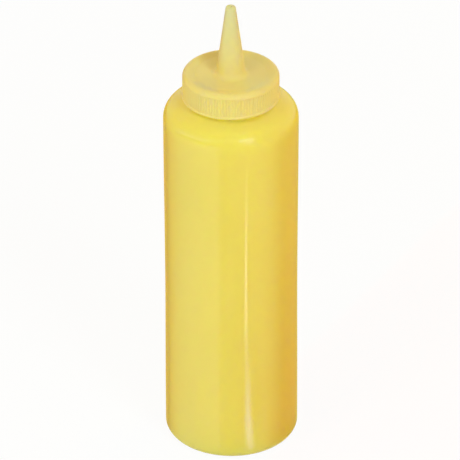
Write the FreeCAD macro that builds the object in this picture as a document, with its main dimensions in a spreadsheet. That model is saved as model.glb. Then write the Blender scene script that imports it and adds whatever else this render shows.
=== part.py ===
"""Squeeze bottle: a blow-moulded bottle with a ribbed, cone-nozzled cap screwed down on its neck.

The frame: +Z up, the origin in the middle of the face that the bottle stands on, millimetres.
The bottle is shut and opaque, so it is solid inside. The cap is a separate moulding that sits
over the neck, with a channel through its nozzle.
"""
import FreeCAD, Part
import math
import os

import Sketcher

ON_AXIS = "0"
TOLERANCE = 1e-4

# Driving sizes: alias, value in mm (degrees for the slope, a number for the ribs), meaning.
DRIVING_SIZES = [
    ("body_diameter", 57.0, "over the heel and shoulder bands"),
    ("wall_height", 158.75, "up to where the wall and the shoulder's slope would meet"),
    ("waist_hollow", 0.24, "how far the panel between the bands is drawn in at mid height"),
    ("band_height", 6.0, "straight band above the heel and below the shoulder"),
    ("heel_radius", 3.4, "round between the wall and the standing ring"),
    ("ring_width", 3.0, "flat ring that the bottle stands on"),
    ("push_up", 1.6, "rise of the base inside the standing ring"),
    ("shoulder_radius", 7.2, "round between the wall and the shoulder's slope"),
    ("shoulder_slope", 26.5, "degrees above level"),
    ("neck_diameter", 37.4, "outside of the neck"),
    ("neck_root_radius", 2.4, "hollow between the shoulder and the neck"),
    ("neck_edge_radius", 0.5, "round on the neck's mouth"),
    ("neck_clearance", 0.3, "radial play between the neck and the cap"),
    ("seat_clearance", 0.1, "play between the neck's mouth and the cap's roof"),
    ("skirt_gap", 2.0, "skirt's lower edge above the shoulder below it"),
    ("skirt_wall", 1.36, "over the crests of the ribs"),
    ("cap_height", 11.4, "skirt's lower edge to the crown of the rim"),
    ("lip_height", 0.9, "smooth lip under the ribs"),
    ("lip_overhang", 0.25, "how far the lip stands out past the ribs"),
    ("lip_radius", 0.3, "round on the lip's lower edge"),
    ("rim_radius", 2.0, "round between the skirt and the cap's top"),
    ("rim_margin", 0.25, "smooth band between the ribs and the rim's round"),
    ("crown_width", 0.4, "level top of the rim"),
    ("dish_depth", 0.6, "deck below the crown of the rim"),
    ("dish_width", 3.0, "slope between the rim and the deck"),
    ("deck_thickness", 1.5, "deck over the neck's mouth"),
    ("rib_count", 100, "ribs round the skirt"),
    ("rib_height", 0.3, "crest above the groove's floor"),
    ("groove_width", 0.62, "at the crests"),
    ("groove_floor", 0.3, "at the floor"),
    ("nozzle_height", 31.3, "above the crown of the rim"),
    ("nozzle_base", 12.6, "diameter of the cone at the deck"),
    ("nozzle_tip", 4.1, "diameter of the cone at the tip"),
    ("flare_radius", 2.4, "hollow between the nozzle and the deck"),
    ("tip_radius", 0.9, "round on the tip"),
    ("orifice", 1.0, "diameter of the channel at the tip"),
    ("channel_base", 3.4, "diameter of the channel where it starts in the cap"),
]

# Sizes that follow from the driving ones.
DERIVED_SIZES = [
    ("body_radius", "body_diameter / 2", "bottle's outside"),
    ("ring_outer", "body_radius - heel_radius", "standing ring, outside"),
    ("ring_inner", "ring_outer - ring_width", "standing ring, inside"),
    ("shoulder_rise", "tan(shoulder_slope * 1 deg)", "rise of the shoulder for each mm inwards"),
    ("shoulder_cut", "shoulder_radius * tan((90 - shoulder_slope) / 2 * 1 deg)", "corner to round's end"),
    ("panel_low", "heel_radius + band_height", "lower end of the drawn-in panel"),
    ("panel_high", "wall_height - shoulder_cut - band_height", "upper end of the panel"),
    ("panel_middle", "(panel_low + panel_high) / 2", "narrowest height"),
    ("panel_radius", "body_radius - waist_hollow", "narrowest radius"),
    ("neck_radius", "neck_diameter / 2", "neck's outside"),
    ("neck_root", "wall_height + (body_radius - neck_radius) * shoulder_rise", "height"),
    ("recess_radius", "neck_radius + neck_clearance", "cap's inside"),
    ("skirt_radius", "recess_radius + skirt_wall", "over the crests of the ribs"),
    ("groove_radius", "skirt_radius - rib_height", "floor of the grooves"),
    ("lip_outer", "skirt_radius + lip_overhang", "over the lip"),
    ("skirt_low", "wall_height + (body_radius - lip_outer) * shoulder_rise + skirt_gap", "height"),
    ("lip_high", "skirt_low + lip_height", "where the lip starts to draw in"),
    ("rib_low", "lip_high + lip_overhang", "lower end of the ribs"),
    ("crown", "skirt_low + cap_height", "highest circle of the rim"),
    ("rib_high", "crown - rim_radius - rim_margin", "upper end of the ribs"),
    ("deck", "crown - dish_depth", "height of the deck"),
    ("crown_radius", "skirt_radius - rim_radius - crown_width", "where the dish starts to fall"),
    ("deck_radius", "crown_radius - dish_width", "edge of the flat deck"),
    ("roof", "deck - deck_thickness", "underside of the deck"),
    ("neck_top", "roof - seat_clearance", "mouth of the neck"),
    ("tip_height", "crown + nozzle_height", "top of the whole"),
]


def add_sizes(doc):
    """Write the driving sizes as plain numbers and the derived ones as formulas, each with an alias."""
    sheet = doc.addObject("Spreadsheet::Sheet", "Sizes")
    rows = [(alias, str(value), note) for alias, value, note in DRIVING_SIZES]
    rows += [(alias, "=" + formula, note) for alias, formula, note in DERIVED_SIZES]
    for row, (alias, content, note) in enumerate(rows, start=1):
        sheet.set("A%d" % row, alias)
        sheet.set("B%d" % row, content)
        sheet.set("C%d" % row, note)
        sheet.setAlias("B%d" % row, alias)
        doc.recompute([sheet])
    return sheet


def origin_feature(body, role):
    """One of the body's own origin planes or axes."""
    return next(item for item in body.Origin.OriginFeatures if item.Role == role)


def new_sketch(body, name, role):
    sketch = body.newObject("Sketcher::SketchObject", name)
    sketch.AttachmentSupport = [(origin_feature(body, role), "")]
    sketch.MapMode = "FlatFace"
    return sketch


def constrain(sketch, name, expression, *definition):
    """Add a dimension and tie it to the sheet."""
    index = sketch.addConstraint(Sketcher.Constraint(*definition))
    sketch.renameConstraint(index, name)
    sketch.setExpression("Constraints." + name, expression)


def place_point(sketch, name, geometry, end, across, along):
    """Fix a point's two coordinates: each is an expression of the sheet, or the axis itself."""
    point = sketch.getPoint(geometry, end)
    if across == ON_AXIS:
        sketch.addConstraint(Sketcher.Constraint("PointOnObject", geometry, end, -2))
    else:
        constrain(sketch, name + "_across", across, "DistanceX", -1, 1, geometry, end, point.x)
    if along == ON_AXIS:
        sketch.addConstraint(Sketcher.Constraint("PointOnObject", geometry, end, -1))
    else:
        constrain(sketch, name + "_along", along, "DistanceY", -1, 1, geometry, end, point.y)


def evaluate(sheet, expression):
    """Value of an expression of the sheet, to draw a point near enough for the solver."""
    if expression == ON_AXIS:
        return 0.0
    return float(sheet.evalExpression(expression.replace("Sizes.", "")))


def dome_arc(start, end):
    """Arc from a point on the axis to a point off it, level where it meets the axis."""
    sagitta = start.y - end.y
    radius = (end.x ** 2 + sagitta ** 2) / (2 * sagitta)
    across = end.x / 2
    along = start.y - radius + math.sqrt(radius ** 2 - across ** 2)
    return Part.Arc(start, FreeCAD.Vector(across, along, 0), end)


def draw_outline(sketch, sheet, corners, domes=()):
    """Closed outline through named corners (name, across, along).

    Its sides are straight, apart from those that start at a corner named in domes, which are arcs
    with their middle on the axis.
    """
    points = []
    for _, across, along in corners:
        points.append(FreeCAD.Vector(evaluate(sheet, across), evaluate(sheet, along), 0))
    sides = []
    for index, (name, _, _) in enumerate(corners):
        start = points[index]
        end = points[(index + 1) % len(points)]
        first_end = 1
        if name in domes:
            side = sketch.addGeometry(dome_arc(start, end), False)
            sketch.addConstraint(Sketcher.Constraint("PointOnObject", side, 3, -2))
            if sketch.getPoint(side, 1).distanceToPoint(start) > TOLERANCE:
                first_end = 2
        else:
            side = sketch.addGeometry(Part.LineSegment(start, end), False)
        sides.append((side, first_end, 3 - first_end))
    for index, (name, across, along) in enumerate(corners):
        side, first_end, _ = sides[index]
        before, _, last_end = sides[index - 1]
        sketch.addConstraint(Sketcher.Constraint("Coincident", before, last_end, side, first_end))
        place_point(sketch, name, side, first_end, across, along)


def revolve(body, sketch):
    solid = body.newObject("PartDesign::Revolution", sketch.Name + "Turned")
    solid.Profile = sketch
    solid.ReferenceAxis = (sketch, ["V_Axis"])
    solid.Angle = 360
    sketch.Visibility = False
    return solid


def round_edge(doc, sheet, body, name, size, radius, height):
    """Fillet the circular edge that has this radius and height round the axis."""
    doc.recompute()
    wanted_radius = evaluate(sheet, radius)
    wanted_height = evaluate(sheet, height)
    names = []
    for number, edge in enumerate(body.Tip.Shape.Edges, start=1):
        if edge.Degenerated or not isinstance(edge.Curve, Part.Circle):
            continue
        off_radius = abs(edge.Curve.Radius - wanted_radius)
        off_height = abs(edge.Curve.Center.z - wanted_height)
        if off_radius < TOLERANCE and off_height < TOLERANCE:
            names.append("Edge%d" % number)
    if not names:
        raise ValueError("no edge for " + name)
    base = body.Tip
    fillet = body.newObject("PartDesign::Fillet", name)
    fillet.Base = (base, names)
    fillet.Radius = evaluate(sheet, size)
    fillet.setExpression("Radius", size)
    doc.recompute()


def make_bottle(doc, sheet):
    """Bottle: a standing ring, a slightly drawn-in wall between two bands, a shoulder and a neck."""
    body = doc.addObject("PartDesign::Body", "Bottle")
    body.Label = "bottle"
    profile = new_sketch(body, "BottleProfile", "XZ_Plane")
    corners = [
        ("ring_inside", "Sizes.ring_inner", ON_AXIS),
        ("heel", "Sizes.body_radius", ON_AXIS),
        ("panel_bottom", "Sizes.body_radius", "Sizes.panel_low"),
        ("waist", "Sizes.panel_radius", "Sizes.panel_middle"),
        ("panel_top", "Sizes.body_radius", "Sizes.panel_high"),
        ("shoulder", "Sizes.body_radius", "Sizes.wall_height"),
        ("root", "Sizes.neck_radius", "Sizes.neck_root"),
        ("mouth", "Sizes.neck_radius", "Sizes.neck_top"),
        ("mouth_middle", ON_AXIS, "Sizes.neck_top"),
        ("base_middle", ON_AXIS, "Sizes.push_up"),
    ]
    draw_outline(profile, sheet, corners, domes=["base_middle"])
    revolve(body, profile)
    round_edge(doc, sheet, body, "Heel", "Sizes.heel_radius", "Sizes.body_radius", ON_AXIS)
    round_edge(
        doc, sheet, body, "Shoulder", "Sizes.shoulder_radius", "Sizes.body_radius", "Sizes.wall_height"
    )
    round_edge(
        doc, sheet, body, "NeckRoot", "Sizes.neck_root_radius", "Sizes.neck_radius", "Sizes.neck_root"
    )
    round_edge(
        doc, sheet, body, "Mouth", "Sizes.neck_edge_radius", "Sizes.neck_radius", "Sizes.neck_top"
    )
    return body


def cut_grooves(doc, sheet, body):
    """Cut one upright groove in the skirt and repeat it round the axis, which leaves the ribs."""
    section = new_sketch(body, "GrooveSection", "XY_Plane")
    section.setExpression("AttachmentOffset.Base.z", "Sizes.rib_low")
    outer = "Sizes.skirt_radius + Sizes.rib_height"
    widening = "(Sizes.groove_width - Sizes.groove_floor) / 2"
    half_mouth = "Sizes.groove_width / 2 + " + widening
    half_floor = "Sizes.groove_floor / 2"
    corners = [
        ("floor_right", "Sizes.groove_radius", "-(%s)" % half_floor),
        ("mouth_right", outer, "-(%s)" % half_mouth),
        ("mouth_left", outer, half_mouth),
        ("floor_left", "Sizes.groove_radius", half_floor),
    ]
    draw_outline(section, sheet, corners)
    before = body.Tip.Shape.Volume
    groove = body.newObject("PartDesign::Pocket", "Groove")
    groove.Profile = section
    groove.Reversed = True
    groove.setExpression("Length", "Sizes.rib_high - Sizes.rib_low")
    section.Visibility = False
    doc.recompute()
    if groove.Shape.Volume >= before:
        raise ValueError("the groove cuts nothing")
    ribs = body.newObject("PartDesign::PolarPattern", "Ribs")
    ribs.Originals = [groove]
    ribs.Axis = (section, ["N_Axis"])
    ribs.Angle = 360
    ribs.setExpression("Occurrences", "Sizes.rib_count")
    body.Tip = ribs
    doc.recompute()


def make_cap(doc, sheet):
    """Cap: a ribbed skirt over the neck, a dished deck and a hollow-flared cone with its channel."""
    body = doc.addObject("PartDesign::Body", "Cap")
    body.Label = "cap"
    profile = new_sketch(body, "CapProfile", "XZ_Plane")
    corners = [
        ("channel_start", "Sizes.channel_base / 2", "Sizes.roof"),
        ("recess_top", "Sizes.recess_radius", "Sizes.roof"),
        ("recess_mouth", "Sizes.recess_radius", "Sizes.skirt_low"),
        ("lip_bottom", "Sizes.lip_outer", "Sizes.skirt_low"),
        ("lip_top", "Sizes.lip_outer", "Sizes.lip_high"),
        ("skirt_bottom", "Sizes.skirt_radius", "Sizes.rib_low"),
        ("rim", "Sizes.skirt_radius", "Sizes.crown"),
        ("rim_inside", "Sizes.crown_radius", "Sizes.crown"),
        ("deck_edge", "Sizes.deck_radius", "Sizes.deck"),
        ("nozzle_foot", "Sizes.nozzle_base / 2", "Sizes.deck"),
        ("nozzle_end", "Sizes.nozzle_tip / 2", "Sizes.tip_height"),
        ("orifice_edge", "Sizes.orifice / 2", "Sizes.tip_height"),
    ]
    draw_outline(profile, sheet, corners)
    revolve(body, profile)
    round_edge(doc, sheet, body, "Lip", "Sizes.lip_radius", "Sizes.lip_outer", "Sizes.skirt_low")
    round_edge(doc, sheet, body, "Rim", "Sizes.rim_radius", "Sizes.skirt_radius", "Sizes.crown")
    round_edge(doc, sheet, body, "Flare", "Sizes.flare_radius", "Sizes.nozzle_base / 2", "Sizes.deck")
    round_edge(doc, sheet, body, "Tip", "Sizes.tip_radius", "Sizes.nozzle_tip / 2", "Sizes.tip_height")
    cut_grooves(doc, sheet, body)
    return body


def check_model(doc, bodies):
    """Stop on any object that failed, and on any piece that isn't one valid solid."""
    for item in doc.Objects:
        if "Invalid" in item.State or "Error" in item.State:
            raise ValueError("%s failed: %s" % (item.Name, item.State))
    for body in bodies:
        shape = body.Shape
        if shape.isNull() or not shape.isValid() or len(shape.Solids) != 1:
            raise ValueError("%s isn't one valid solid" % body.Label)


def main():
    doc = FreeCAD.newDocument("SqueezeBottle")
    sheet = add_sizes(doc)
    bodies = [make_bottle(doc, sheet), make_cap(doc, sheet)]
    doc.recompute()
    check_model(doc, bodies)
    os.makedirs("parts", exist_ok=True)
    for body in bodies:
        body.Shape.exportStep(os.path.join("parts", body.Label + ".step"))
        print("%s: volume %.0f mm3, top %.2f mm" % (
            body.Label, body.Shape.Volume, body.Shape.BoundBox.ZMax
        ))


main()
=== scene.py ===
"""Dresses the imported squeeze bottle: a glossy yellow bottle and a paler satin cap.

Both pieces are turned meshes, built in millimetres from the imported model's own boxes and a few
named sizes, and placed in its frame in metres. The body stands on z = 0 with its axis on Z.
"""
import math

import bmesh
import bpy
from mathutils import Matrix, Vector, noise


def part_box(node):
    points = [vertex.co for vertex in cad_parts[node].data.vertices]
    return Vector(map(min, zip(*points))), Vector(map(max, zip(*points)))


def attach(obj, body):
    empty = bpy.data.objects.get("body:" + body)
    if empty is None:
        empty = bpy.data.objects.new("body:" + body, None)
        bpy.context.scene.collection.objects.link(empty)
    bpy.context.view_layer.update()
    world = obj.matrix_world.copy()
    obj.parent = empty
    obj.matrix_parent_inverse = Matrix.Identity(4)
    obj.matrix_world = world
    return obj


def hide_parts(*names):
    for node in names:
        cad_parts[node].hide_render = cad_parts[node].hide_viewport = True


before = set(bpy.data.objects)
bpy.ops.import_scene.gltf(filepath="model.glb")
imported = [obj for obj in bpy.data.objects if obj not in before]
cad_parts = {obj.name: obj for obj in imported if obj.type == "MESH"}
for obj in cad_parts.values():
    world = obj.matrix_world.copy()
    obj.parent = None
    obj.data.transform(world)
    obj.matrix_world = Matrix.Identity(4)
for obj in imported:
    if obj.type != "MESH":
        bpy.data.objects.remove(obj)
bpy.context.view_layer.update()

MM = 0.001

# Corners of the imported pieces' boxes, in millimetres.
BOTTLE_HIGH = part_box("bottle")[1] / MM
CAP_LOW, CAP_HIGH = [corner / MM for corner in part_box("cap")]

# Bottle, in millimetres.
BODY_RADIUS = BOTTLE_HIGH.x
WALL_HEIGHT = 158.75
WAIST_HOLLOW = 0.24
PANEL_LOW = 9.4
PANEL_HIGH = 148.3
HEEL_RADIUS = 3.4
RING_INNER = 22.1
RING_EDGE = 0.6
PUSH_UP = 1.6
RING_RISE = PUSH_UP * 0.09
SHOULDER_RADIUS = 7.2
SHOULDER_SLOPE = math.radians(26.5)
NECK_RADIUS = 18.7
NECK_ROOT = WALL_HEIGHT + (BODY_RADIUS - NECK_RADIUS) * math.tan(SHOULDER_SLOPE)
NECK_ROOT_RADIUS = 2.4
NECK_EDGE_RADIUS = 0.5
NECK_MOUTH_RADIUS = NECK_RADIUS * 0.5
WALL_UNEVENNESS = 0.03
UNEVEN_HIGH = BODY_RADIUS * 5.4
UNEVEN_FADE = 12
UNEVEN_TURN = 1.7
UNEVEN_LENGTH = 45
SEAM_HEIGHT = 0.12
SEAM_WIDTH = 0.5
SEAM_REACH = RING_INNER * 0.8
SEAM_FADE = 2

# Cap, in millimetres.
LIP_RADIUS = CAP_HIGH.x
LIP_OVERHANG = 0.25
LIP_HEIGHT = 0.9
LIP_ROUND = 0.3
LIP_TOP_ROUND = 0.5
SKIRT_RADIUS = LIP_RADIUS - LIP_OVERHANG
SKIRT_LOW = CAP_LOW.z
SKIRT_WALL = 1.36
RECESS_RADIUS = SKIRT_RADIUS - SKIRT_WALL
RECESS_EDGE = 0.25
RECESS_ROUND = 0.4
CAP_HEIGHT = 11.4
CROWN = SKIRT_LOW + CAP_HEIGHT
CROWN_WIDTH = 0.4
CROWN_ROUND = 1.6
RIM_RADIUS = 2.0
DISH_DEPTH = 0.6
DISH_WIDTH = 3.0
DISH_ROUND = 3.0
CROWN_RADIUS = SKIRT_RADIUS - RIM_RADIUS - CROWN_WIDTH
DECK_RADIUS = CROWN_RADIUS - DISH_WIDTH
DECK_THICKNESS = 1.5
DECK = CROWN - DISH_DEPTH
ROOF = DECK - DECK_THICKNESS
RIB_COUNT = 100
RIB_HEIGHT = 0.3
RIB_MARGIN = 0.25
RIB_RUN_OUT = 0.3
RIB_LOW = SKIRT_LOW + LIP_HEIGHT + LIP_OVERHANG
RIB_HIGH = CROWN - RIM_RADIUS - RIB_MARGIN
NOZZLE_FOOT = 6.3
NOZZLE_END = 2.05
FLARE_RADIUS = 2.4
TIP_ROUND = 0.9
ORIFICE_RADIUS = 0.5
ORIFICE_ROUND = 0.15
CHANNEL_RADIUS = 1.7

# A groove between ribs, as shares of the way from its middle to the rib's middle.
GROOVE_FLOOR = 0.05
GROOVE_FLANK = 0.65

# Mesh density: the spacings are in millimetres.
ROUND_STEPS = 10
ROW_SPACING = 2.4
CAP_SPACING = 1.2
BASE_ROWS = 24
BOTTLE_SEGMENTS = 240
CAP_SEGMENTS = 300
SAMPLES_PER_RIB = 12
RIB_ROWS = 12
RIB_END_ROWS = (0.1, 0.2, 0.3)

# Materials: the noise's scale is in cycles per metre.
CLOUD_SCALE = 35.0
CLOUD_STRETCH = (1, 1, 0.4)
FINE_DETAIL = 4.0
TINT_SPAN = (0.35, 0.65)
GLOSS_SPAN = (0.3, 0.7)
PLASTIC_IOR = 1.5

# Stage, in metres.
FLOOR_HALF_SIDE = 3.0
FLOOR_COLOUR = 0.9
FLOOR_SHADOW = 0.07
WORLD_STRENGTH = 0.29
WORLD_COLOUR = (1.0, 1.0, 0.62)
CARD_HEIGHT = 0.0005
CARD_GAP = 0.002
CARD_REACH = 2.5
CARD_STEP = 2

# Camera: angles in degrees, lengths in metres but for the lens and sensor, in millimetres.
CAMERA_ELEVATION = 31.75
CAMERA_ROLL = -0.13
CAMERA_DISTANCE = 80 * BODY_RADIUS * MM
CAMERA_TARGET = Vector((-0.0005, 0, 0.4741 * CAP_HIGH.z * MM))
LENS = 419.7
SENSOR = 36.0

# Lamps: name, azimuth, elevation, distance, (width, height), power, colour and roll. The first
# group is mirrored in the plastic. The second stands for light that comes from all around.
MIRRORED_LAMPS = [
    ("key", 27.5, 40, 0.8, (0.24, 0.03), 1.2, (0.9, 1.0, 1.0), 0),
    ("key_edge", 30, 23, 0.8, (0.2, 0.02), 0.4, (1.0, 1.0, 1.0), 0),
    ("left_strip", -65, 22, 0.9, (1.05, 0.34), 1.3, (0.5, 0.6, 1.0), 14),
]
FILL_LAMPS = [
    ("right_light", 32, 45, 0.8, (0.2, 0.2), 1.5, (0.4, 0.66, 1.0), 0),
    ("left_light", -42, 50, 0.8, (0.2, 0.2), 1.05, (1.0, 0.88, 0.7), 0),
    ("left_fill", -95, 34, 0.9, (0.6, 0.6), 1.35, (0.88, 0.97, 0.35), 0),
    ("front_fill", -10, 8, 0.9, (0.6, 0.3), 0.63, (1.0, 0.97, 0.2), 0),
    ("front_right", 30, 15, 0.8, (0.3, 0.2), 0.2, (0.6, 0.8, 1.0), 0),
    ("right_fill", 80, 12, 0.9, (0.6, 0.6), 1.0, (1.0, 0.15, 0.0), 0),
    ("right_rim", 135, 20, 0.9, (0.3, 0.6), 2.9, (1.0, 0.7, 0.0), 0),
    ("back_left", -140, 25, 0.9, (0.6, 0.6), 1.8, (1.0, 0.2, 0.0), 0),
    ("back_fill", 180, 8, 0.9, (0.3, 0.6), 3.6, (0.0, 0.5, 1.0), 0),
]

# The room that the wall mirrors: a bright window on the left, a dimmer room on the right, and a
# dark gap and a warm rim at both edges. The colours began as a fit to the photo's wall and are
# kept here in round numbers.
LEFT_RIM = (0.95, 0.65, 0.15)
LEFT_GAP = (0.35, 0.1, 0.15)
WINDOW_FRAME = (1.0, 0.7, 0.55)
WINDOW_EDGE = (1.2, 1.25, 1.1)
WINDOW = (1.7, 1.75, 1.65)
ROOM = (1.2, 1.25, 1.0)
ROOM_FAR_END = (0.8, 1.2, 0.9)
RIGHT_GAP = (0.1, 0.0, 0.2)
RIGHT_CORNER = (0.35, 0.25, 0.2)
RIGHT_RIM = (0.75, 0.7, 0.15)

# From the wall's left edge to its right: an azimuth and a colour.
WALL_BANDS = [
    (-89, LEFT_RIM),
    (-72, LEFT_GAP),
    (-60, WINDOW_FRAME),
    (-50, WINDOW_EDGE),
    (-35, WINDOW),
    (-10.6, WINDOW),
    (-10.2, ROOM),
    (30, ROOM_FAR_END),
    (48, RIGHT_GAP),
    (60, RIGHT_CORNER),
    (89, RIGHT_RIM),
]

# The bright line in the wall, from its foot up: distance, shift and half width in mm, and colour.
LINE_AZIMUTH = 12.9
LINE_EDGE = (0.97, 1.2, 0.94)
LINE_STOPS = [
    (3, 3, 4, LINE_EDGE),
    (8, 3, 5, (2.0, 2.5, 4.0)),
    (16, 2.5, 5.5, (3.2, 3.9, 6.2)),
    (29, 2.5, 6.5, (2.9, 3.6, 6.0)),
    (45, 2.5, 8, (2.2, 2.9, 5.0)),
    (70, 2, 10, (1.5, 1.9, 2.7)),
    (90, 0, 8, (2.6, 2.6, 3.0)),
    (109, 0, 7, (6.0, 6.0, 5.4)),
    (141, 0, 8, (5.8, 6.0, 6.2)),
    (173, 0, 8, (5.0, 5.0, 5.2)),
    (205, 0, 9, (3.0, 3.0, 3.0)),
    (260, 0, 10, (1.6, 1.6, 1.8)),
    (400, 0, 10, LINE_EDGE),
]


def rounded_outline(corners, spacing=ROW_SPACING):
    """Points along an outline of (radius, height, round) corners, with each corner's round as an arc."""
    points = []
    places = [Vector((across, along)) for across, along, _ in corners]
    for index, (across, along, size) in enumerate(corners):
        corner = places[index]
        if size == 0 or index in (0, len(corners) - 1):
            arc = [corner]
        else:
            back = (places[index - 1] - corner).normalized()
            ahead = (places[index + 1] - corner).normalized()
            half = back.angle(ahead) / 2
            middle = corner + (back + ahead).normalized() * size / math.sin(half)
            start = corner + back * size / math.tan(half) - middle
            turn = start.angle_signed(corner + ahead * size / math.tan(half) - middle)
            steps = max(3, round(ROUND_STEPS * abs(turn) / (math.pi / 2)))
            arc = []
            for step in range(steps + 1):
                arc.append(middle + Matrix.Rotation(-turn * step / steps, 2) @ start)
        if points:
            run = arc[0] - points[-1]
            pieces = max(1, math.ceil(run.length / spacing))
            origin = points[-1]
            for piece in range(1, pieces):
                points.append(origin + run * piece / pieces)
        points.extend(arc)
    return points


def ring(bm, count, place):
    """A closed ring of vertices: place gives (radius, height) in mm for an angle."""
    vertices = []
    for index in range(count):
        angle = 2 * math.pi * index / count
        radius, height = place(angle)
        spot = Vector((radius * math.cos(angle), radius * math.sin(angle), height))
        vertices.append(bm.verts.new(spot * MM))
    return vertices


def bridge(bm, first, second):
    """Join two rings, whose counts are equal or in a whole ratio. Normals are set later."""
    if len(first) == len(second):
        for index, vertex in enumerate(first):
            after = (index + 1) % len(first)
            bm.faces.new((vertex, first[after], second[after], second[index]))
        return
    coarse, fine = sorted((first, second), key=len)
    ratio = len(fine) // len(coarse)
    middle = ratio // 2
    for index, vertex in enumerate(coarse):
        after = coarse[(index + 1) % len(coarse)]
        run = [fine[(index * ratio + step) % len(fine)] for step in range(ratio + 1)]
        for step in range(ratio):
            corner = vertex if step < middle else after
            bm.faces.new((corner, run[step + 1], run[step]))
        bm.faces.new((vertex, after, run[middle]))


def finish_mesh(name, bm, material, node):
    """Turn the bmesh into a smooth piece that stands for a CAD node and rides on the body."""
    bmesh.ops.recalc_face_normals(bm, faces=bm.faces)
    for face in bm.faces:
        face.smooth = True
    mesh = bpy.data.meshes.new(name)
    bm.to_mesh(mesh)
    bm.free()
    mesh.materials.append(material)
    piece = bpy.data.objects.new(name, mesh)
    bpy.context.scene.collection.objects.link(piece)
    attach(piece, "root")
    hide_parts(node)


def smooth_step(value):
    """0 up to 0, 1 from 1 on, and a smooth rise between them."""
    value = min(1.0, max(0.0, value))
    return value * value * (3 - 2 * value)


def waist(height):
    """How far the wall is drawn in at a height, in mm."""
    along = (height - PANEL_LOW) / (PANEL_HIGH - PANEL_LOW)
    if not 0 < along < 1:
        return 0.0
    return WAIST_HOLLOW * math.sin(math.pi * along) ** 2


def wall_radius(radius, height, angle):
    """Radius of the bottle's outside, with the slight unevenness of a blown wall."""
    spot = Vector((math.cos(angle), math.sin(angle), height / UNEVEN_LENGTH)) * UNEVEN_TURN
    fade = smooth_step(height / UNEVEN_FADE) * smooth_step((UNEVEN_HIGH - height) / UNEVEN_FADE)
    return radius - waist(height) - WALL_UNEVENNESS * fade * (0.5 + 0.5 * noise.noise(spot))


def base_height(radius, angle):
    """Height of the pushed-up base, with the low seam where the mould pinched it shut."""
    dome = PUSH_UP * (1 - (radius / RING_INNER) ** 2)
    off_seam = abs(radius * math.sin(angle)) / SEAM_WIDTH
    along_seam = smooth_step((SEAM_REACH - radius) / SEAM_FADE)
    return dome - SEAM_HEIGHT * along_seam * math.exp(-off_seam ** 2)


def make_bottle(material):
    """The bottle: rows of rings from the middle of the base, up the wall and over the neck."""
    bm = bmesh.new()
    outline = rounded_outline([
        (RING_INNER - 2 * RING_EDGE, RING_RISE, 0),
        (RING_INNER, 0, RING_EDGE),
        (BODY_RADIUS, 0, HEEL_RADIUS),
        (BODY_RADIUS, WALL_HEIGHT, SHOULDER_RADIUS),
        (NECK_RADIUS, NECK_ROOT, NECK_ROOT_RADIUS),
        (NECK_RADIUS, BOTTLE_HIGH.z, NECK_EDGE_RADIUS),
        (NECK_MOUTH_RADIUS, BOTTLE_HIGH.z, 0),
    ])
    base_edge = outline[0].x
    middle = bm.verts.new(Vector((0, 0, base_height(0, 0))) * MM)
    rings = []
    for row in range(1, BASE_ROWS):
        radius = base_edge * row / BASE_ROWS
        rings.append(ring(bm, BOTTLE_SEGMENTS, lambda a: (radius, base_height(radius, a))))
    for point in outline:
        rings.append(ring(bm, BOTTLE_SEGMENTS, lambda a: (wall_radius(point.x, point.y, a), point.y)))
    top = bm.verts.new(Vector((0, 0, BOTTLE_HIGH.z)) * MM)
    for first, second in zip(rings, rings[1:]):
        bridge(bm, first, second)
    for index in range(BOTTLE_SEGMENTS):
        after = (index + 1) % BOTTLE_SEGMENTS
        bm.faces.new((middle, rings[0][after], rings[0][index]))
        bm.faces.new((top, rings[-1][index], rings[-1][after]))
    finish_mesh("bottle_body", bm, material, "bottle")


def rib_radius(angle, height):
    """Radius of the skirt among the ribs: flat crests, soft flanks, and ends that run out."""
    phase = (angle * RIB_COUNT / (2 * math.pi)) % 1
    off_groove = abs(phase - 0.5) * 2
    crest = smooth_step((off_groove - GROOVE_FLOOR) / GROOVE_FLANK)
    run_out = min(height - RIB_LOW, RIB_HIGH - height) / RIB_RUN_OUT
    depth = RIB_HEIGHT * smooth_step(run_out)
    return SKIRT_RADIUS - depth * (1 - crest)


def make_cap(material):
    """The cap: a closed loop of rings, through the recess, up the skirt and down the channel."""
    bm = bmesh.new()
    below = rounded_outline([
        (CHANNEL_RADIUS, ROOF, 0),
        (RECESS_RADIUS, ROOF, RECESS_ROUND),
        (RECESS_RADIUS, SKIRT_LOW, RECESS_EDGE),
        (LIP_RADIUS, SKIRT_LOW, LIP_ROUND),
        (LIP_RADIUS, SKIRT_LOW + LIP_HEIGHT, LIP_TOP_ROUND),
        (SKIRT_RADIUS, RIB_LOW, 0),
    ])[:-1]
    above = rounded_outline([
        (SKIRT_RADIUS, RIB_HIGH, 0),
        (SKIRT_RADIUS, CROWN, RIM_RADIUS),
        (CROWN_RADIUS, CROWN, CROWN_ROUND),
        (DECK_RADIUS, DECK, DISH_ROUND),
        (NOZZLE_FOOT, DECK, FLARE_RADIUS),
        (NOZZLE_END, CAP_HIGH.z, TIP_ROUND),
        (ORIFICE_RADIUS, CAP_HIGH.z, ORIFICE_ROUND),
        (CHANNEL_RADIUS, ROOF, 0),
    ], spacing=CAP_SPACING)[1:-1]
    rings = [ring(bm, CAP_SEGMENTS, lambda a: (point.x, point.y)) for point in below]
    rib_rows = []
    for row in range(RIB_ROWS + 1):
        rib_rows.append(RIB_LOW + (RIB_HIGH - RIB_LOW) * row / RIB_ROWS)
    rib_rows[1:1] = [RIB_LOW + inset for inset in RIB_END_ROWS]
    rib_rows[-1:-1] = [RIB_HIGH - inset for inset in reversed(RIB_END_ROWS)]
    for height in rib_rows:
        rings.append(ring(bm, RIB_COUNT * SAMPLES_PER_RIB, lambda a: (rib_radius(a, height), height)))
    rings += [ring(bm, CAP_SEGMENTS, lambda a: (point.x, point.y)) for point in above]
    for first, second in zip(rings, rings[1:] + rings[:1]):
        bridge(bm, first, second)
    finish_mesh("cap_shell", bm, material, "cap")


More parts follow.
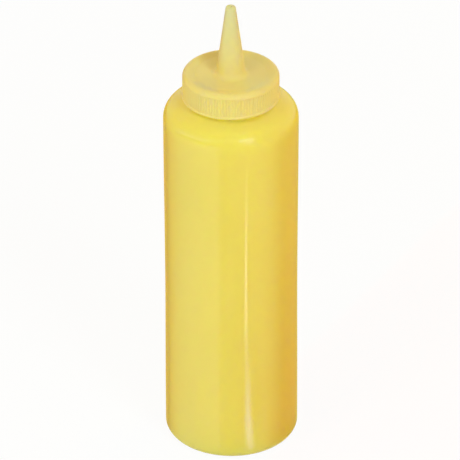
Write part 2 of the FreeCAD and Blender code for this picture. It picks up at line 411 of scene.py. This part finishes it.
def new_material(name):
    """A material with its nodes, its links and its Principled shader."""
    material = bpy.data.materials.new(name)
    material.use_nodes = True
    nodes = material.node_tree.nodes
    return material, nodes, material.node_tree.links, nodes["Principled BSDF"]


def noise_node(nodes, links, scale, detail=3.0, stretch=(1, 1, 1)):
    """Noise in object space, in metres, so its scale is cycles per metre."""
    place = nodes.new("ShaderNodeTexCoord")
    mapping = nodes.new("ShaderNodeMapping")
    mapping.inputs["Scale"].default_value = stretch
    texture = nodes.new("ShaderNodeTexNoise")
    texture.inputs["Scale"].default_value = scale
    texture.inputs["Detail"].default_value = detail
    links.new(place.outputs["Object"], mapping.inputs["Vector"])
    links.new(mapping.outputs["Vector"], texture.inputs["Vector"])
    return texture.outputs["Fac"]


def spread(nodes, links, value, span, low=0.0, high=1.0):
    """Stretch a value, from a span of its own, over low to high."""
    ramp = nodes.new("ShaderNodeMapRange")
    ramp.inputs["From Min"].default_value = span[0]
    ramp.inputs["From Max"].default_value = span[1]
    ramp.inputs["To Min"].default_value = low
    ramp.inputs["To Max"].default_value = high
    links.new(value, ramp.inputs["Value"])
    return ramp.outputs["Result"]


def mix_colours(nodes, links, factor, first, second):
    """Mix two colours, each a plain colour or a node's output."""
    mix = nodes.new("ShaderNodeMix")
    mix.data_type = "RGBA"
    for socket, colour in (("A", first), ("B", second)):
        if isinstance(colour, tuple):
            mix.inputs[socket].default_value = (*colour, 1)
        else:
            links.new(colour, mix.inputs[socket])
    links.new(factor, mix.inputs["Factor"])
    return mix.outputs["Result"]


def fade_up(nodes, links, colour, low, high, end_colour):
    """Fade a colour to another between two heights, in mm: on the cap, the paler thin-walled nozzle; on
    the bottle, painted light on the shoulder and in the shade under the cap.
    """
    place = nodes.new("ShaderNodeTexCoord")
    split = nodes.new("ShaderNodeSeparateXYZ")
    links.new(place.outputs["Object"], split.inputs["Vector"])
    factor = spread(nodes, links, split.outputs["Z"], (low * MM, high * MM))
    return mix_colours(nodes, links, factor, colour, end_colour)


def plastic(name, pale, deep, roughness, relief, grain, gloss, scatter, fades):
    """Pigmented polyethylene: cloudy colour, uneven gloss, fine surface relief and some scatter.

    roughness is (low, high), relief the bump's depth in metres, grain its cycles per metre and
    scatter how far red, green and blue light run under the surface, in metres. Each fade is a
    low and a high place, in mm, and the colour that it ends in.
    """
    material, nodes, links, shader = new_material(name)
    cloud = noise_node(nodes, links, CLOUD_SCALE, stretch=CLOUD_STRETCH)
    fine = noise_node(nodes, links, grain, detail=FINE_DETAIL)
    colour = mix_colours(nodes, links, spread(nodes, links, cloud, TINT_SPAN), pale, deep)
    for fade in fades:
        colour = fade_up(nodes, links, colour, *fade)
    links.new(colour, shader.inputs["Base Color"])
    links.new(spread(nodes, links, cloud, GLOSS_SPAN, *roughness), shader.inputs["Roughness"])
    bump = nodes.new("ShaderNodeBump")
    bump.inputs["Strength"].default_value = 1.0
    bump.inputs["Distance"].default_value = relief
    links.new(fine, bump.inputs["Height"])
    links.new(bump.outputs["Normal"], shader.inputs["Normal"])
    shader.inputs["IOR"].default_value = PLASTIC_IOR
    shader.inputs["Specular IOR Level"].default_value = gloss
    shader.inputs["Subsurface Weight"].default_value = 1.0
    shader.inputs["Subsurface Radius"].default_value = scatter
    shader.inputs["Subsurface Scale"].default_value = 1.0
    return material


def seen_as_background(nodes, links):
    """1 for rays that show the background itself: from the camera, a reflection or glass."""
    path = nodes.new("ShaderNodeLightPath")
    total = path.outputs["Is Camera Ray"]
    for name in ("Is Glossy Ray", "Is Transmission Ray"):
        add = nodes.new("ShaderNodeMath")
        add.operation = "MAXIMUM"
        links.new(total, add.inputs[0])
        links.new(path.outputs[name], add.inputs[1])
        total = add.outputs[0]
    return total


def make_world():
    """Soft light from all around, that shows as plain white to the camera and in the gloss."""
    world = bpy.data.worlds.new("studio")
    bpy.context.scene.world = world
    world.use_nodes = True
    nodes = world.node_tree.nodes
    links = world.node_tree.links
    soft = nodes["Background"]
    soft.inputs["Color"].default_value = (*WORLD_COLOUR, 1)
    soft.inputs["Strength"].default_value = WORLD_STRENGTH
    white = nodes.new("ShaderNodeBackground")
    white.inputs["Strength"].default_value = 1.0
    mix = nodes.new("ShaderNodeMixShader")
    links.new(seen_as_background(nodes, links), mix.inputs["Fac"])
    links.new(soft.outputs["Background"], mix.inputs[1])
    links.new(white.outputs["Background"], mix.inputs[2])
    links.new(mix.outputs["Shader"], nodes["World Output"].inputs["Surface"])


def make_floor():
    """White floor: mostly plain white to the camera, with enough of the lit surface for a shadow."""
    material, nodes, links, shader = new_material("floor_white")
    nodes.remove(shader)
    lit = nodes.new("ShaderNodeBsdfDiffuse")
    lit.inputs["Color"].default_value = (FLOOR_COLOUR, FLOOR_COLOUR, FLOOR_COLOUR, 1)
    white = nodes.new("ShaderNodeEmission")
    white.inputs["Strength"].default_value = 1.0
    blend = nodes.new("ShaderNodeMixShader")
    factor = nodes.new("ShaderNodeMath")
    factor.operation = "MULTIPLY"
    factor.inputs[1].default_value = 1 - FLOOR_SHADOW
    links.new(seen_as_background(nodes, links), factor.inputs[0])
    links.new(factor.outputs[0], blend.inputs["Fac"])
    links.new(lit.outputs["BSDF"], blend.inputs[1])
    links.new(white.outputs["Emission"], blend.inputs[2])
    links.new(blend.outputs["Shader"], nodes["Material Output"].inputs["Surface"])
    bm = bmesh.new()
    bmesh.ops.create_grid(bm, x_segments=8, y_segments=8, size=FLOOR_HALF_SIDE)
    mesh = bpy.data.meshes.new("floor")
    bm.to_mesh(mesh)
    bm.free()
    mesh.materials.append(material)
    floor = bpy.data.objects.new("floor", mesh)
    bpy.context.scene.collection.objects.link(floor)


def direction(azimuth, elevation):
    """Unit vector towards a place: azimuth in degrees to the right of the camera's side."""
    side = math.radians(azimuth)
    up = math.radians(elevation)
    return Vector((math.sin(side) * math.cos(up), -math.cos(side) * math.cos(up), math.sin(up)))


def add_lamp(name, azimuth, elevation, distance, size, power, colour, roll, mirrored):
    """Rectangular lamp that faces the bottle's middle; size is (width, height) in metres."""
    target = Vector((0, 0, (BOTTLE_HIGH.z + CAP_HIGH.z) / 4 * MM))
    data = bpy.data.lights.new(name, "AREA")
    data.shape = "RECTANGLE"
    data.size, data.size_y = size
    data.energy = power
    data.color = colour
    lamp = bpy.data.objects.new(name, data)
    towards = direction(azimuth, elevation)
    lamp.location = target + towards * distance
    lamp.rotation_euler = towards.to_track_quat("Z", "Y").to_euler()
    lamp.rotation_euler.rotate_axis("Z", math.radians(roll))
    lamp.visible_glossy = mirrored
    bpy.context.scene.collection.objects.link(lamp)


def glow_material(name):
    """Emission whose colour and strength come from the mesh's own "glow" colours."""
    material, nodes, links, shader = new_material(name)
    nodes.remove(shader)
    colour = nodes.new("ShaderNodeAttribute")
    colour.attribute_name = "glow"
    glow = nodes.new("ShaderNodeEmission")
    links.new(colour.outputs["Color"], glow.inputs["Color"])
    links.new(glow.outputs["Emission"], nodes["Material Output"].inputs["Surface"])
    return material


def lay_card(name, bm, material, mirrored=True):
    """Put a card on the stage, unseen by the camera: it is either mirrored or lights the plastic."""
    mesh = bpy.data.meshes.new(name)
    bm.to_mesh(mesh)
    bm.free()
    mesh.materials.append(material)
    card = bpy.data.objects.new(name, mesh)
    bpy.context.scene.collection.objects.link(card)
    card.visible_camera = False
    card.visible_glossy = mirrored
    card.visible_diffuse = not mirrored
    card.visible_transmission = False
    card.visible_shadow = False


def add_warm_card(name, first, last, reach, colour):
    """Matt coloured card on the floor between two azimuths, that warms the light it throws back."""
    material, nodes, links, shader = new_material(name + "_matt")
    nodes.remove(shader)
    matt = nodes.new("ShaderNodeBsdfDiffuse")
    matt.inputs["Color"].default_value = (*colour, 1)
    links.new(matt.outputs["BSDF"], nodes["Material Output"].inputs["Surface"])
    bm = bmesh.new()
    rows = []
    steps = math.ceil((last - first) / CARD_STEP)
    for step in range(steps + 1):
        towards = direction(first + (last - first) * step / steps, 0)
        row = []
        for distance in (BODY_RADIUS * MM + CARD_GAP, reach):
            row.append(bm.verts.new(towards * distance + Vector((0, 0, 3 * CARD_HEIGHT))))
        rows.append(row)
    for (near, far), (next_near, next_far) in zip(rows, rows[1:]):
        bm.faces.new((near, next_near, next_far, far))
    lay_card(name, bm, material, mirrored=False)


def add_card(name, stops):
    """Card lying on the floor round the bottle, seen only as a reflection in the wall.

    Each stop is an azimuth on the wall, in degrees, and the colour that the camera sees mirrored
    there. The card's rows run from the foot at twice the wall's azimuth, as the mirrored rays do,
    so its bands stand upright in the wall.
    """
    bm = bmesh.new()
    glow = bm.verts.layers.float_color.new("glow")
    rows = []
    for (start, first), (end, second) in zip(stops, stops[1:]):
        steps = math.ceil((end - start) / CARD_STEP)
        for step in range(steps + 1):
            along = step / steps
            azimuth = start + (end - start) * along
            foot = direction(azimuth, 0) * BODY_RADIUS * MM + Vector((0, 0, CARD_HEIGHT))
            row = []
            for distance in (CARD_GAP, CARD_REACH):
                corner = bm.verts.new(foot + direction(2 * azimuth, 0) * distance)
                corner[glow] = (*Vector(first).lerp(Vector(second), along), 1)
                row.append(corner)
            rows.append(row)
    for (near, far), (next_near, next_far) in zip(rows, rows[1:]):
        bm.faces.new((near, next_near, next_far, far))
    lay_card(name, bm, glow_material(name + "_glow"))


def add_strip(name, azimuth, stops):
    """Narrow card on the floor, mirrored in the wall as a soft upright line.

    Each stop is a distance from the foot, a shift to the right and a half width, in millimetres,
    and the colour along the middle. The edges have the colour of the card beneath.
    """
    bm = bmesh.new()
    glow = bm.verts.layers.float_color.new("glow")
    foot = direction(azimuth, 0) * BODY_RADIUS * MM + Vector((0, 0, 2 * CARD_HEIGHT))
    along = direction(2 * azimuth, 0)
    across = direction(2 * azimuth + 90, 0)
    rows = []
    for distance, shift, half_width, colour in stops:
        middle = foot + (along * distance + across * shift) * MM
        row = []
        for side in (-1, 0, 1):
            corner = bm.verts.new(middle + across * side * half_width * MM)
            corner[glow] = (*(colour if side == 0 else LINE_EDGE), 1)
            row.append(corner)
        rows.append(row)
    for near, far in zip(rows, rows[1:]):
        for column in (0, 1):
            bm.faces.new((near[column], near[column + 1], far[column + 1], far[column]))
    lay_card(name, bm, glow_material(name + "_glow"))


def make_camera():
    """The view from the front and above, through a long lens."""
    data = bpy.data.cameras.new("camera")
    camera = bpy.data.objects.new("camera", data)
    bpy.context.scene.collection.objects.link(camera)
    towards = direction(0, CAMERA_ELEVATION)
    camera.location = CAMERA_TARGET + towards * CAMERA_DISTANCE
    camera.rotation_euler = towards.to_track_quat("Z", "Y").to_euler()
    camera.rotation_euler.rotate_axis("Z", math.radians(CAMERA_ROLL))
    data.lens = LENS
    data.sensor_width = SENSOR
    data.clip_start = 0.1
    data.clip_end = 20.0
    bpy.context.scene.camera = camera


def make_pieces():
    """The bottle and its cap, each in its own plastic."""
    bottle_plastic = plastic(
        "bottle_plastic",
        pale=(0.825, 0.685, 0.106),
        deep=(0.805, 0.665, 0.099),
        roughness=(0.07, 0.1),
        relief=0.000006,
        grain=700,
        gloss=0.5,
        scatter=(0.020, 0.017, 0.0025),
        # Painted light: these fades lighten the shoulder, and most of all the shade under the cap's lip.
        fades=[(158, 168, (0.97, 0.79, 0.11)), (162, 164, (1.0, 0.83, 0.11))],
    )
    cap_plastic = plastic(
        "cap_plastic",
        pale=(0.85, 0.70, 0.24),
        deep=(0.83, 0.68, 0.23),
        roughness=(0.34, 0.42),
        relief=0.00002,
        grain=1400,
        gloss=0.35,
        scatter=(0.0014, 0.0012, 0.0003),
        fades=[(CROWN, CAP_HIGH.z, (0.72, 0.68, 0.36))],
    )
    make_bottle(bottle_plastic)
    make_cap(cap_plastic)


def make_stage():
    """The floor, the world, the lamps and the cards that only the gloss mirrors."""
    make_floor()
    make_world()
    for lamp in MIRRORED_LAMPS:
        add_lamp(*lamp, mirrored=True)
    for lamp in FILL_LAMPS:
        add_lamp(*lamp, mirrored=False)
    add_card("wall_card", WALL_BANDS)
    add_warm_card("warm_card", 30, 150, 0.4, (0.86, 0.40, 0.08))
    add_strip("line_card", LINE_AZIMUTH, LINE_STOPS)


bpy.context.scene.view_settings.view_transform = "Standard"
make_pieces()
make_stage()
make_camera()
